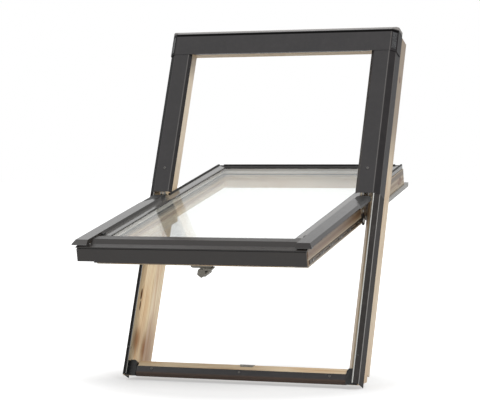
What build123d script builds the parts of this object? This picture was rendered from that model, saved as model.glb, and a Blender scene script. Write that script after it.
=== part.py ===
from build123d import *
import os

os.makedirs("parts", exist_ok=True)

# Roof window with a centre-pivot sash. Millimetres and degrees.
# It is modelled closed and lying flat: X across, Y up the slope, Z out of the roof.
# Z is zero on the outer face of the side covers. Right-hand pieces are modelled, left ones mirrored.

# Pose
roof_pitch = 68.5
sash_opening = 56.4

# Frame timber
frame_width = 780.0
frame_height = 1178.0
stile_width = 45.0
top_rail_width = 31.0
bottom_rail_width = 54.0
cover_rise = 20.0
timber_depth = 102.0
timber_round = 2.5
stile_slope_run = 16.5
stile_slope_drop = 30.0
foot_rebate = 22.0
sill_slope_start = 33.0
sill_slope_drop = 18.5

# Sheet metal
sheet = 1.5
bend_radius = 2.0
flange_seat = 0.5
flange_depth = 66.0
cover_bevel_run = 18.5
cover_bevel_drop = 17.0
cover_face_width = 50.1
cover_lip_run = 10.4
cover_lip_drop = 8.0
cover_start_gap = 7.5
cover_end_gap = 2.0
strip_start = 3.0
strip_joint = 0.5
strip_bevel_share = 0.82
trim_width = 3.0
trim_thickness = 2.4

# Hood
hood_reach = 73.5
hood_side_gap = 0.6
hood_bevel_run = 12.0
hood_bevel_drop = 10.5
hood_depth = 56.0
hood_side_bevel_run = 19.0
hood_side_bevel_drop = 17.0
hood_return = 5.0

# Bottom cladding and corner blocks of the frame
cladding_bevel = 8.0
cladding_lift = 0.5
cladding_return = 56.0
cladding_inset = 42.5
cladding_seat = 0.3
sill_rebate = 2.0
block_outer_inset = 21.0
block_inner_inset = 42.0
block_height = 51.0
block_shoulder = 43.0
block_notch_inset = 36.0
block_base = 1.0
block_thickness = 2.0

# Pivot hinges
pivot_height = 608.0
pin_radius = 4.0
pin_head_radius = 6.0
pin_head_thickness = 3.0
hinge_eye_radius = 6.5
hinge_plate = 3.0
frame_hinge_width = 22.0
frame_hinge_depth = 80.0
sash_hinge_foot_radius = 14.0
sash_hinge_foot_depth = 84.0
running_fit = 0.05
fixed_fit = 0.02
part_gap = 0.5

# Sash timber and glazing
sash_side_gap = 10.0
sash_stile_width = 45.0
sash_bottom_gap = 9.0
sash_top_gap = 82.0
sash_top_rail_width = 62.0
sash_bottom_rail_width = 55.0
sash_front = -22.0
sash_back_upper = -76.0
sash_back_lower = -91.0
step_below_pivot = 12.0
glass_front = -12.0
pane_thickness = 4.0
glass_cavity = 16.0
glass_bed = 2.0
glass_side_inset = 19.0
glass_low_inset = 9.0
glass_high_inset = 19.0
glass_edge_gap = 2.0
spacer_width = 9.0
spacer_inset = 2.0
bed_width = 12.0

# Glazing beads and seals of the sash
bead_edge = 2.0
bead_width = 39.0
bead_top = -9.5
bead_chamfer_run = 4.0
bead_start_rise = 24.0
gasket_width = 10.5
gasket_thickness = 1.5
gasket_show = 2.5
seal_width = 6.5
seal_height = 3.4
seal_above_pivot = 32.0
seal_corner_gap = 3.0

# Sash covers
side_cover_outer_inset = 15.2
side_cover_fold_inset = 23.6
side_cover_inner_inset = 64.0
side_cover_drop = 10.8
side_cover_floor = -15.5
side_cover_low = -15.2
side_cover_low_fold = -1.8
side_cover_below_pivot = 46.0
side_cover_cut_run = 42.0
side_cover_cut_rise = 86.0
side_cover_relief_end = 10.0
side_cover_end_drop = 14.6
side_cover_relief_depth = 14.2
bottom_cover_inset = 66.0
nose_inset = 29.0
ridge_level = -5.0
ridge_below = 1.6
ridge_end_level = -8.8
ridge_end_rise = 17.0
ridge_face_width = 32.6
bottom_slope_end = (7.3, -15.0)
nose_front = (-19.5, -18.4)
nose_drop = 2.2
apron_inset = 31.0
apron_face = -18.0
apron_top = -24.4
apron_bottom = -66.0
apron_return = 7.0
apron_neck = -15.0
apron_block_gap = 1.0
apron_notch_width = 54.0
apron_notch_height = 3.5
plug_width = 7.0
plug_length = 16.0
plug_height = 5.0
plug_inset = 74.0
cap_below_pivot = 12.0
cap_drop = 1.0

# Sash hardware
side_rail_thickness = 2.0
side_rail_front = -71.0
side_rail_back = -83.0
side_rail_rise = 7.0
side_rail_below_pivot = 20.0
side_rail_screws = 6
side_rail_screw_margin = 30.0
side_rail_slot_length = 42.0
side_rail_slot_width = 4.0
back_strip_overlap = 8.0
back_strip_reach = 6.0
back_strip_depth = 14.0
back_strip_above_step = 44.0
back_strip_rise = 32.0
lip_overlap = 14.0
lip_thickness = 5.0

# Handle and latch
handle_rise = 29.0
base_left = 38.0
base_right = 27.0
base_width = 28.0
base_thickness = 12.0
base_chamfer = 4.0
lever_width = 24.0
lever_gap = 0.4
lever_back = [(28.0, 4.0), (28.0, 0.0), (-1.0, 0.0), (-1.0, 3.6), (-14.0, 3.6)]
lever_window = [(5.0, 7.0), (16.5, 7.0), (5.5, 16.5)]
lever_face = [(-17.0, 5.0), (-21.0, 20.0), (-8.4, 30.0), (6.0, 22.0)]
lever_round = 1.0
grip_length = 52.0
grip_left = -17.0
grip_width = 18.0
grip_thickness = 12.0
spindle_radius = 4.0
spindle_in_lever = 7.0
drum_radius = 12.0
drum_front = -66.0
drum_back = -78.0
drum_gap = 0.4
bolt_width = 9.0
bolt_low_rise = 3.0
bolt_high_rise = 47.0
bolt_gap = 0.3
strike_half_wide = 24.0
strike_half_narrow = 16.0
strike_tab = 8.0
strike_reach = 48.0
strike_clearance = 1.2
strike_pocket = 12.0

# Screws
screw_shank_radius = 1.8
screw_head_radius = 4.2
screw_head_height = 2.2
screw_length = 16.0
screw_recess_radius = 1.5
screw_recess_depth = 1.0
screw_hole_gap = 0.4
small_screw_share = 0.72
cover_screw_inset = 44.0
cover_screw_above_pivot = 90.0
strip_screw_height = 91.0
strip_screw_share = 0.45
sill_screw_inset = 95.0
sill_screw_height = 25.0
handle_screw_left = 27.0
handle_screw_right = 19.0
screw_sink_gap = 0.4

overrun = 5.0

# Derived places
half_width = frame_width / 2
frame_front = -cover_rise
frame_back = frame_front - timber_depth
stile_inner = half_width - stile_width
cover_outer = half_width - flange_seat + sheet
cover_fold = cover_outer - cover_bevel_run
cover_inner_fold = cover_fold - cover_face_width
cover_lip = cover_inner_fold - cover_lip_run
cover_start = pivot_height + cover_start_gap
strip_bevel_run = cover_bevel_run * strip_bevel_share
strip_bevel_rise = cover_bevel_drop * strip_bevel_share
strip_edge = (cover_outer - strip_bevel_run, strip_bevel_rise - cover_bevel_drop)
hood_outer = cover_outer + hood_side_gap + sheet
hood_end = frame_height + hood_bevel_run
sill_top_front = frame_front - sheet - sill_slope_drop
sash_outer = stile_inner - sash_side_gap
sash_inner = sash_outer - sash_stile_width
glass_back = glass_front - pane_thickness - glass_cavity - pane_thickness
rebate_floor = glass_back - glass_bed
bead_seat = glass_front + gasket_thickness
base_back = sash_back_lower - base_thickness
lever_front = base_back - lever_gap
screw_sink = screw_head_height * small_screw_share + screw_sink_gap
bolt_inner = drum_radius + bolt_gap
bolt_outer = bolt_inner + bolt_width
strike_middle = (bolt_inner + bolt_outer) / 2
rail_back = frame_back + foot_rebate
cladding_half = half_width - cladding_inset
cladding_nose = frame_front - cladding_bevel
sill_step = -cladding_return - sill_rebate
sill_face_middle = (rail_back + sill_step) / 2
level_way = Vector(0, 1, 0).rotate(Axis.X, -roof_pitch)
level_slope = -level_way.Y / level_way.Z
hood_start = frame_height - hood_reach
apron_tuck = block_base - apron_block_gap
block_outer = half_width - block_outer_inset
block_inner = half_width - block_inner_inset
block_notch = half_width - block_notch_inset
sash_top = frame_height - sash_top_gap
sash_step_height = pivot_height - step_below_pivot
glass_side = sash_outer - glass_side_inset
rebate_side = glass_side + glass_edge_gap
glass_high = sash_top - glass_high_inset
rebate_high = glass_high + glass_edge_gap
bead_outer = sash_outer - bead_edge
bead_inner = bead_outer - bead_width
bead_high = sash_top - (sash_outer - bead_outer)
seal_start = pivot_height + seal_above_pivot
side_cover_outer = half_width - side_cover_outer_inset
side_cover_fold = half_width - side_cover_fold_inset
side_cover_inner = half_width - side_cover_inner_inset
side_cover_high = pivot_height - side_cover_below_pivot
bottom_cover_half = half_width - bottom_cover_inset
nose_half = half_width - nose_inset
apron_half = half_width - apron_inset
plug_inner = half_width - plug_inset
side_rail_end = pivot_height - side_rail_below_pivot
back_strip_inner = sash_outer - back_strip_overlap
back_strip_outer = sash_outer + back_strip_reach
back_strip_start = sash_step_height + back_strip_above_step
back_strip_end = sash_top + back_strip_rise
cap_end = pivot_height - cap_below_pivot
cap_outer = strip_edge[0] - trim_width - trim_thickness
cover_screw_side = half_width - cover_screw_inset
cover_screw_height = pivot_height + cover_screw_above_pivot
sill_screw_step = half_width - sill_screw_inset
sash_bottom = bottom_rail_width + sash_bottom_gap
bottom_ridge = (sash_bottom - ridge_below, ridge_level)
bottom_ridge_end = (sash_bottom + ridge_end_rise, ridge_end_level)
bottom_face_end = (bottom_ridge[0] - ridge_face_width, ridge_level)
glass_low = sash_bottom + glass_low_inset
rebate_low = glass_low - glass_edge_gap
bead_start = sash_bottom + bead_start_rise
side_rail_start = sash_bottom + side_rail_rise
handle_height = sash_bottom + handle_rise
bolt_low = sash_bottom + bolt_low_rise
bolt_high = sash_bottom + bolt_high_rise


def sill_under(depth):
    # Height of the sill's underside, which is level at the roof's pitch, at a depth behind the nose.
    return cladding_lift + (cladding_nose - depth) * level_slope


sill_face_height = sill_under(sill_face_middle)


def block(x_span, y_span, z_span):
    corner = Pos(x_span[0], y_span[0], z_span[0])
    size = [span[1] - span[0] for span in (x_span, y_span, z_span)]
    return corner * Box(*size, align=(Align.MIN, Align.MIN, Align.MIN))


def outline_face(outline):
    return make_face(Polyline(*outline, close=True))


def softened_face(outline, corners, radius):
    face = outline_face(outline)
    picked = [face.vertices().sort_by_distance((x, y, 0))[0] for x, y in corners]
    return fillet(picked, radius)


def side_shift(points, distance):
    # The fold line moved to the left of its own direction, with mitred corners.
    normals = []
    for start, end in zip(points, points[1:]):
        run = Vector(end[0] - start[0], end[1] - start[1]).normalized()
        normals.append(Vector(-run.Y, run.X))
    pairs = zip([normals[0]] + normals, normals + [normals[-1]])
    moved = []
    for point, (before, after) in zip(points, pairs):
        mitre = (before + after) / (1 + before.dot(after))
        moved.append((point[0] + mitre.X * distance, point[1] + mitre.Y * distance))
    return moved


def folded_face(points):
    # Section of a folded sheet whose bends all turn to the left.
    outer = FilletPolyline(*points, radius=bend_radius)
    inner = FilletPolyline(*side_shift(points, sheet), radius=bend_radius - sheet)
    return make_face([outer, inner, Line(outer @ 0, inner @ 0), Line(outer @ 1, inner @ 1)])


def joggled_face(points):
    # Section of a folded sheet with sharp bends either way.
    return outline_face(list(points) + side_shift(points, sheet)[::-1])


def run_up(face, start, end):
    # Solid with a section in X and Z, running up the slope.
    plane = Plane(origin=(0, start, 0), x_dir=(1, 0, 0), z_dir=(0, -1, 0))
    return extrude(plane * face, amount=end - start, dir=(0, 1, 0))


def run_across(face, start, end):
    # Solid with a section in Y and Z, running across.
    plane = Plane(origin=(start, 0, 0), x_dir=(0, 1, 0), z_dir=(1, 0, 0))
    return extrude(plane * face, amount=end - start, dir=(1, 0, 0))


def run_out(face, start, end):
    # Solid with an outline in X and Y, running outward.
    return extrude(Pos(0, 0, start) * face, amount=end - start, dir=(0, 0, 1))


def disc_out(radius, x, y, start, end):
    seat = (Align.CENTER, Align.CENTER, Align.MIN)
    return Pos(x, y, start) * Cylinder(radius, end - start, align=seat)


def disc_across(radius, height, level, start, end):
    return Pos(start, height, level) * Rot(0, 90, 0) * disc_out(radius, 0, 0, 0, end - start)


def ring(outer_side, low, high, width, start, end):
    outer = block((-outer_side, outer_side), (low, high), (start, end))
    side = outer_side - width
    inner = block((-side, side), (low + width, high - width), (start - overrun, end + overrun))
    return outer - inner


def screw(share=1.0):
    # Pan-head screw along Z, its head's seat at zero.
    head_radius = screw_head_radius * share
    head_height = screw_head_height * share
    head = disc_out(head_radius, 0, 0, 0, head_height)
    head = fillet(head.edges().sort_by(Axis.Z)[-1], head_height / 2)
    recess_start = head_height - screw_recess_depth * share
    recess = disc_out(screw_recess_radius * share, 0, 0, recess_start, head_height + overrun)
    shank = disc_out(screw_shank_radius * share, 0, 0, -screw_length * share, 0)
    return head + shank - recess


def screw_hole(share=1.0):
    radius = screw_shank_radius * share
    return disc_out(radius + screw_hole_gap, 0, 0, -screw_length * share - screw_hole_gap, overrun)


def mirrored(solid):
    return mirror(solid, about=Plane.YZ)


def pierced(solid, places, share=1.0):
    for place in places:
        solid = solid - place * screw_hole(share)
    return solid


def driven(places, share=1.0):
    return Compound(children=[place * screw(share) for place in places])


def strip_screw_place():
    from_edge = cover_bevel_run * strip_screw_share
    drop = cover_bevel_drop * strip_screw_share
    lean = Vector(cover_bevel_drop, cover_bevel_run).normalized()
    plane = Plane(origin=(cover_fold + from_edge, strip_screw_height, -drop), z_dir=(lean.X, 0, lean.Y))
    return Location(plane)


cover_screw_place = Pos(cover_screw_side, cover_screw_height, 0)
cover_screw_places = [cover_screw_place, Pos(-cover_screw_side, cover_screw_height, 0)]
sill_screw_places = [Pos(step * sill_screw_step, sill_screw_height, frame_front) for step in (-1, 0, 1)]
handle_screw_places = []
for side in (-handle_screw_left, handle_screw_right):
    seat = Pos(side, handle_height, base_back + screw_sink)
    handle_screw_places.append(seat * Rot(180, 0, 0))


def side_rail_screw_places():
    first = side_rail_start + side_rail_screw_margin
    last = side_rail_end - side_rail_screw_margin
    pitch = (last - first) / (side_rail_screws - 1)
    level = (side_rail_front + side_rail_back) / 2
    face = sash_outer + side_rail_thickness
    return [Pos(face, first + index * pitch, level) * Rot(0, 90, 0) for index in range(side_rail_screws)]


# Frame timber


def cladding_line():
    low = cladding_lift
    line = [(sill_slope_start, frame_front), (low + cladding_bevel, frame_front), (low, cladding_nose)]
    return line + [(sill_under(-cladding_return), -cladding_return)]


def foot_cut():
    # Everything under the level foot of the frame, and the rebate behind it.
    lift = sheet + cladding_seat
    front = frame_front + overrun
    back = frame_back - overrun
    outline = [(sill_under(depth) + lift, depth) for depth in (front, back)]
    outline += [(-timber_depth, back), (-timber_depth, front)]
    side = half_width + overrun
    rebate = block((0, side), (-overrun, bottom_rail_width), (back, rail_back))
    return run_across(outline_face(outline), 0, side) + rebate


def frame_stile():
    rebate_end = -flange_depth - flange_seat
    side = half_width - flange_seat
    outline = [(stile_inner, frame_front - stile_slope_drop), (stile_inner + stile_slope_run, frame_front)]
    outline += [(side, frame_front), (side, rebate_end)]
    outline += [(half_width, rebate_end), (half_width, frame_back), (stile_inner, frame_back)]
    corners = [outline[0], outline[1], outline[-2], outline[-1]]
    solid = run_up(softened_face(outline, corners, timber_round), 0, frame_height)
    return pierced(solid - foot_cut(), [strip_screw_place()], small_screw_share)


def frame_top_rail():
    low = frame_height - top_rail_width
    high = frame_height
    outline = [(low, frame_front), (high, frame_front), (high, frame_back), (low, frame_back)]
    face = softened_face(outline, [outline[0], outline[-1]], timber_round)
    return run_across(face, -stile_inner, stile_inner)


def frame_bottom_rail():
    front = frame_front - sheet
    _, bevel_high, bevel_low, under = side_shift(cladding_line(), sheet + cladding_seat)
    step_under = under[0] + (under[1] - sill_step) * level_slope
    outline = [(sill_under(rail_back), rail_back), (bottom_rail_width, rail_back)]
    outline += [(bottom_rail_width, sill_top_front), (sill_slope_start, front), (bevel_high[0], front)]
    outline += [bevel_low, (step_under, sill_step), (sill_under(sill_step), sill_step)]
    solid = run_across(softened_face(outline, [outline[1]], timber_round), -stile_inner, stile_inner)
    side = (bolt_inner - strike_clearance, bolt_outer + strike_clearance)
    rise = (bottom_rail_width - strike_pocket, bottom_rail_width + overrun)
    pocket = block(side, rise, (drum_back - strike_clearance, drum_front + strike_clearance))
    return pierced(solid - pocket, sill_screw_places)


# Frame metalwork


def upper_cover():
    points = [(cover_outer, -flange_depth), (cover_outer, -cover_bevel_drop), (cover_fold, 0)]
    points += [(cover_inner_fold, 0), (cover_lip, -cover_lip_drop)]
    solid = run_up(folded_face(points), cover_start, frame_height - cover_end_gap)
    return pierced(solid, [cover_screw_place])


def lower_strip():
    points = [(cover_outer, -flange_depth), (cover_outer, -cover_bevel_drop), strip_edge]
    solid = run_up(folded_face(points), strip_start, cover_start - strip_joint)
    return pierced(solid, [strip_screw_place()], small_screw_share)


def strip_trim():
    along = Vector(-cover_bevel_run, cover_bevel_drop).normalized()
    end = (strip_edge[0] + along.X * trim_width, strip_edge[1] + along.Y * trim_width)
    points = [strip_edge, end]
    outline = points + side_shift(points, trim_thickness)[::-1]
    return run_up(outline_face(outline), strip_start, cover_start - strip_joint)


def hood_body(inset):
    side = hood_outer - inset
    top = sheet - inset
    end = hood_end - inset
    fold = side - hood_side_bevel_run
    across = [(-side, -hood_depth), (-side, top - hood_side_bevel_drop), (-fold, top), (fold, top)]
    across += [(side, top - hood_side_bevel_drop), (side, -hood_depth)]
    along = [(hood_start, -hood_depth), (hood_start, top), (end - hood_bevel_run, top)]
    along += [(end, top - hood_bevel_drop), (end, -hood_depth)]
    sides = run_up(outline_face(across), hood_start, hood_end)
    return sides & run_across(outline_face(along), -side, side)


def hood():
    shell = hood_body(0) - hood_body(sheet)
    side = cover_lip - hood_return
    edge = block((-side, side), (hood_start, hood_start + sheet), (-hood_return, 0))
    return shell + edge


def bottom_cladding():
    solid = run_across(folded_face(cladding_line()), -cladding_half, cladding_half)
    return pierced(solid, sill_screw_places)


def corner_block():
    outline = [(block_inner, block_base), (block_outer, block_base), (block_outer, block_height)]
    outline += [(block_notch, block_height), (block_inner, block_shoulder)]
    back = frame_front - stile_slope_drop
    solid = run_out(outline_face(outline), back, frame_front + block_thickness)
    return solid - frame_stile() - foot_cut()


def frame_hinge():
    span = (stile_inner - hinge_plate, stile_inner)
    half = frame_hinge_width / 2
    eye = disc_across(hinge_eye_radius, pivot_height, 0, span[0], span[1])
    neck_side = (pivot_height - hinge_eye_radius, pivot_height + hinge_eye_radius)
    neck = block(span, neck_side, (frame_front, 0))
    plate_side = (pivot_height - half, pivot_height + half)
    plate = block(span, plate_side, (-frame_hinge_depth, frame_front))
    bore = disc_across(pin_radius + fixed_fit, pivot_height, 0, sash_outer, half_width)
    return eye + neck + plate - bore


def pivot_pin():
    head_end = sash_outer - part_gap
    shaft = disc_across(pin_radius, pivot_height, 0, head_end, stile_inner)
    head = disc_across(pin_head_radius, pivot_height, 0, head_end - pin_head_thickness, head_end)
    return shaft + head


def strike_plate():
    top = bottom_rail_width
    slope = sill_slope_drop / (top - sill_slope_start)
    tab = (top - strike_tab, sill_top_front + strike_tab * slope)
    points = [tab, (top, sill_top_front), (top, sill_top_front - strike_reach)]
    narrow = (strike_middle - strike_half_narrow, strike_middle + strike_half_narrow)
    wide = (strike_middle - strike_half_wide, strike_middle + strike_half_wide)
    solid = run_across(joggled_face(points), wide[0], wide[1])
    low = top - strike_tab - overrun
    high = top + overrun
    shape = [(narrow[0], low), (narrow[1], low), (wide[1], top), (wide[1], high)]
    shape += [(wide[0], high), (wide[0], top)]
    solid = solid & run_out(outline_face(shape), frame_back, 0)
    side = (bolt_inner - strike_clearance, bolt_outer + strike_clearance)
    depth = (drum_back - strike_clearance, drum_front + strike_clearance)
    return solid - block(side, (low, high), depth)


# Sash timber and glazing


def sash_stile_face(back):
    outline = [(sash_outer, back), (sash_inner, back), (sash_inner, rebate_floor)]
    outline += [(rebate_side, rebate_floor), (rebate_side, sash_front), (sash_outer, sash_front)]
    return softened_face(outline, outline[:2], timber_round)


def sash_stile():
    upper = run_up(sash_stile_face(sash_back_upper), sash_step_height, sash_top)
    lower = run_up(sash_stile_face(sash_back_lower), sash_bottom, sash_step_height)
    return pierced(upper + lower, side_rail_screw_places(), small_screw_share)


def sash_rail(low, high, front_low, front_high, back):
    rear = block((-sash_inner, sash_inner), (low, high), (back, rebate_floor))
    front = block((-rebate_side, rebate_side), (front_low, front_high), (rebate_floor, sash_front))
    return rear + front


def sash_top_rail():
    return sash_rail(sash_top - sash_top_rail_width, sash_top, rebate_high, sash_top, sash_back_upper)


def sash_bottom_rail():
    high = sash_bottom + sash_bottom_rail_width
    solid = sash_rail(sash_bottom, high, sash_bottom, rebate_low, sash_back_lower)
    drum_end = drum_front + drum_gap
    drum = disc_out(drum_radius + drum_gap, 0, handle_height, sash_back_lower - overrun, drum_end)
    side = (bolt_inner - bolt_gap, bolt_outer + bolt_gap)
    slot_side = (sash_bottom - overrun, bolt_high + bolt_gap)
    slot = block(side, slot_side, (drum_back - bolt_gap, drum_front + bolt_gap))
    return pierced(solid - drum - slot, handle_screw_places, small_screw_share)


def pane(front):
    return block((-glass_side, glass_side), (glass_low, glass_high), (front - pane_thickness, front))


def spacer_bar():
    low = glass_low + spacer_inset
    high = glass_high - spacer_inset
    back = glass_front - pane_thickness - glass_cavity
    return ring(glass_side - spacer_inset, low, high, spacer_width, back, glass_front - pane_thickness)


def glass_bed_tape():
    return ring(glass_side, glass_low, glass_high, bed_width, rebate_floor, glass_back)


def gasket():
    side = bead_inner - gasket_show + gasket_width
    high = bead_high - bead_width + gasket_width - gasket_show
    return ring(side, glass_low, high, gasket_width, glass_front, bead_seat)


def bead_outline(outer, inner, seat):
    outline = [(outer, sash_front), (outer, bead_top), (inner + bead_chamfer_run, bead_top)]
    return outline + [(inner, bead_seat), (seat, bead_seat), (seat, sash_front)]


def mitre_wedge():
    # Everything on the upper side of the right-hand corner's mitre.
    reach = bead_width + overrun
    high = bead_high + overrun
    outline = [(bead_outer + overrun, high), (bead_outer - reach, bead_high - reach)]
    outline += [(0, bead_high - reach), (0, high)]
    return run_out(outline_face(outline), sash_front - overrun, bead_top + overrun)


def side_bead():
    face = outline_face(bead_outline(bead_outer, bead_inner, rebate_side))
    return run_up(face, bead_start, bead_high) - mitre_wedge()


def top_bead():
    low = bead_high - bead_width
    face = outline_face(bead_outline(bead_high, low, rebate_high))
    solid = run_across(face, 0, bead_outer) & mitre_wedge()
    return solid + mirrored(solid)


def side_seal():
    span = (bead_outer - seal_width, bead_outer)
    return block(span, (seal_start, bead_high), (bead_top, bead_top + seal_height))


def top_seal():
    side = cover_lip - seal_corner_gap
    return block((-side, side), (bead_high - seal_width, bead_high), (bead_top, bead_top + seal_height))


# Sash covers


def side_cover_across(inset):
    inner = side_cover_inner + inset
    side_line = [(side_cover_outer, -side_cover_drop), (side_cover_fold, 0), (inner, 0)]
    edge, fold, _ = side_shift(side_line, inset)
    floor = side_cover_floor
    return outline_face([(inner, floor), (inner, -inset), fold, edge, (edge[0], floor)])


def side_cover_cut(gap):
    # The slanting upper end of the side cover, seen from outside, and all beyond it.
    start = side_cover_high - gap
    outer = side_cover_inner + sheet + side_cover_cut_run
    low = start - side_cover_cut_rise
    outline = [(side_cover_inner - overrun, start), (side_cover_inner + sheet, start), (outer, low)]
    outline += [(half_width, low), (half_width, frame_height), (side_cover_inner - overrun, frame_height)]
    return run_out(outline_face(outline), side_cover_floor - overrun, overrun)


def side_cover_body(inset):
    low_line = [(0, 0), (side_cover_low_fold, 0), (side_cover_low, -side_cover_drop)]
    _, low_fold, low_edge = side_shift(low_line, inset)
    high = side_cover_high
    floor = side_cover_floor
    along = [(high, floor), (high, -inset), low_fold, low_edge, (low_edge[0], floor)]
    sides = run_up(side_cover_across(inset), side_cover_low, high)
    return sides & run_across(outline_face(along), sash_inner, half_width)


def side_cover():
    # The inner skirt reaches down to the bead, and the outer bevel and the low end stop higher.
    shell = side_cover_body(0) - side_cover_body(sheet) - side_cover_cut(0)
    below = side_cover_floor - overrun
    start = side_cover_low - overrun
    outside = (side_cover_inner + sheet + part_gap, half_width)
    shell = shell - block(outside, (side_cover_low_fold, frame_height), (below, -side_cover_drop))
    whole = (sash_inner, half_width)
    shell = shell - block(whole, (bead_start - part_gap, frame_height), (below, bead_top))
    shell = shell - block(whole, (start, side_cover_relief_end), (below, -side_cover_relief_depth))
    return shell - block(whole, (start, side_cover_low_fold), (below, -side_cover_end_drop))


def hinge_cap():
    # Solid cap between the side cover's slanting end and the pivot, seated on the bead, inside the trim.
    start = side_cover_high - side_cover_cut_rise - overrun
    solid = run_up(side_cover_across(cap_drop), start, cap_end) & side_cover_cut(-part_gap)
    below = side_cover_floor - overrun
    solid = solid - block((cap_outer, half_width), (start, frame_height), (below, overrun))
    whole = (sash_inner, bead_outer + part_gap)
    return solid - block(whole, (start, frame_height), (below, bead_top))


def bottom_cover():
    nose_end = (nose_front[0], nose_front[1] - nose_drop)
    upper = [bottom_ridge_end, bottom_ridge, bottom_face_end, bottom_slope_end, nose_front, nose_end]
    lower = [bottom_slope_end, nose_front, nose_end]
    middle = run_across(joggled_face(upper), -bottom_cover_half, bottom_cover_half)
    return middle + run_across(joggled_face(lower), -nose_half, nose_half)


def nose_under(place):
    # Height of the nose plate's underside at a place up the slope.
    under = side_shift([bottom_slope_end, nose_front], sheet)
    part = (place - under[1][0]) / (under[0][0] - under[1][0])
    return under[1][1] + part * (under[0][1] - under[1][1])


def bottom_apron():
    points = [(place, nose_under(place)) for place in (apron_tuck, apron_neck)]
    points += [(apron_neck, apron_top), (apron_face, apron_top), (apron_face, apron_bottom)]
    points += [(apron_face + apron_return, apron_bottom)]
    solid = run_across(joggled_face(points), -apron_half, apron_half)
    notch_side = (-apron_half - overrun, -apron_half + apron_notch_width)
    notch_rise = (apron_bottom - overrun, apron_bottom + apron_notch_height)
    return solid - block(notch_side, (apron_face - overrun, 0), notch_rise)


def corner_plug():
    span = (plug_inner, plug_inner + plug_width)
    return block(span, (bead_start, bead_start + plug_length), (bead_top, bead_top + plug_height))


# Sash hardware


def sash_hinge():
    span = (sash_outer, sash_outer + hinge_plate)
    eye = disc_across(hinge_eye_radius, pivot_height, 0, span[0], span[1])
    foot_level = -sash_hinge_foot_depth
    foot = disc_across(sash_hinge_foot_radius, pivot_height, foot_level, span[0], span[1])
    outline = [(pivot_height - hinge_eye_radius, 0), (pivot_height + hinge_eye_radius, 0)]
    outline += [(pivot_height + sash_hinge_foot_radius, foot_level)]
    outline += [(pivot_height - sash_hinge_foot_radius, foot_level)]
    arm = run_across(outline_face(outline), span[0], span[1])
    bore = disc_across(pin_radius + running_fit, pivot_height, 0, sash_inner, half_width)
    return eye + arm + foot - bore


def side_rail():
    span = (sash_outer, sash_outer + side_rail_thickness)
    solid = block(span, (side_rail_start, side_rail_end), (side_rail_back, side_rail_front))
    level = (side_rail_front + side_rail_back) / 2
    depth = (level - side_rail_slot_width / 2, level + side_rail_slot_width / 2)
    through = (sash_outer - overrun, sash_outer + side_rail_thickness + overrun)
    places = [place.position.Y for place in side_rail_screw_places()]
    for before, after in zip(places, places[1:]):
        low = (before + after - side_rail_slot_length) / 2
        solid = solid - block(through, (low, low + side_rail_slot_length), depth)
    return pierced(solid, side_rail_screw_places(), small_screw_share)


def back_strip():
    span = (back_strip_inner, back_strip_outer)
    depth = (sash_back_upper - back_strip_depth, sash_back_upper)
    return block(span, (back_strip_start, back_strip_end), depth)


def top_lip():
    side = back_strip_inner
    depth = (sash_back_upper - lip_thickness, sash_back_upper)
    return block((-side, side), (sash_top - lip_overlap, back_strip_end), depth)


# Handle and latch


def handle_base():
    low = handle_height - base_width / 2
    solid = block((-base_left, base_right), (low, low + base_width), (base_back, sash_back_lower))
    solid = chamfer(solid.faces().sort_by(Axis.Z)[0].edges(), base_chamfer)
    solid = solid - disc_out(spindle_radius + running_fit, 0, handle_height, base_back - overrun, 0)
    sink_radius = screw_head_radius * small_screw_share + screw_sink_gap
    for place in handle_screw_places:
        solid = solid - place * disc_out(sink_radius, 0, 0, 0, screw_sink + overrun)
    return pierced(solid, handle_screw_places, small_screw_share)


def handle_lever():
    outline = [(x, lever_front - depth) for x, depth in lever_face + lever_back]
    low = handle_height - lever_width / 2
    knuckle = run_up(outline_face(outline), low, low + lever_width)
    knuckle = fillet(knuckle.edges().filter_by(Axis.Y), lever_round)
    window = outline_face([(x, lever_front - depth) for x, depth in lever_window])
    knuckle = knuckle - run_up(window, low - overrun, low + lever_width + overrun)
    lowest = min(point[1] for point in outline)
    grip_high = lowest + lever_round + grip_thickness
    grip_end = handle_height + grip_length
    span = (grip_left, grip_left + grip_width)
    grip = block(span, (handle_height, grip_end), (grip_high - grip_thickness, grip_high))
    grip = fillet(grip.edges().filter_by(Axis.Y), lever_round)
    bore = disc_out(spindle_radius + fixed_fit, 0, handle_height, lever_front - spindle_in_lever, 0)
    return knuckle + grip - bore


def handle_spindle():
    rod = disc_out(spindle_radius, 0, handle_height, lever_front - spindle_in_lever, drum_back)
    return rod + disc_out(drum_radius, 0, handle_height, drum_back, drum_front)


def latch_bolt():
    solid = block((bolt_inner, bolt_outer), (bolt_low, bolt_high), (drum_back, drum_front))
    return chamfer(solid.edges().filter_by(Axis.X).sort_by(Axis.Y)[0], bolt_width / 3)


def both_sides(name, solid):
    return {name + "_right": solid, name + "_left": mirrored(solid)}


frame_nodes = {
    "frame_top_rail": frame_top_rail(),
    "frame_bottom_rail": frame_bottom_rail(),
    "hood": hood(),
    "bottom_cladding": bottom_cladding(),
    "strike_plate": strike_plate(),
    "cover_screws": driven(cover_screw_places),
    "sill_screws": driven(sill_screw_places),
}
frame_nodes.update(both_sides("frame_stile", frame_stile()))
frame_nodes.update(both_sides("upper_cover", upper_cover()))
frame_nodes.update(both_sides("lower_strip", lower_strip()))
frame_nodes.update(both_sides("strip_trim", strip_trim()))
frame_nodes.update(both_sides("corner_block", corner_block()))
frame_nodes.update(both_sides("frame_hinge", frame_hinge()))
frame_nodes.update(both_sides("pivot_pin", pivot_pin()))
frame_nodes.update(both_sides("strip_screw", strip_screw_place() * screw(small_screw_share)))

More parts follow.
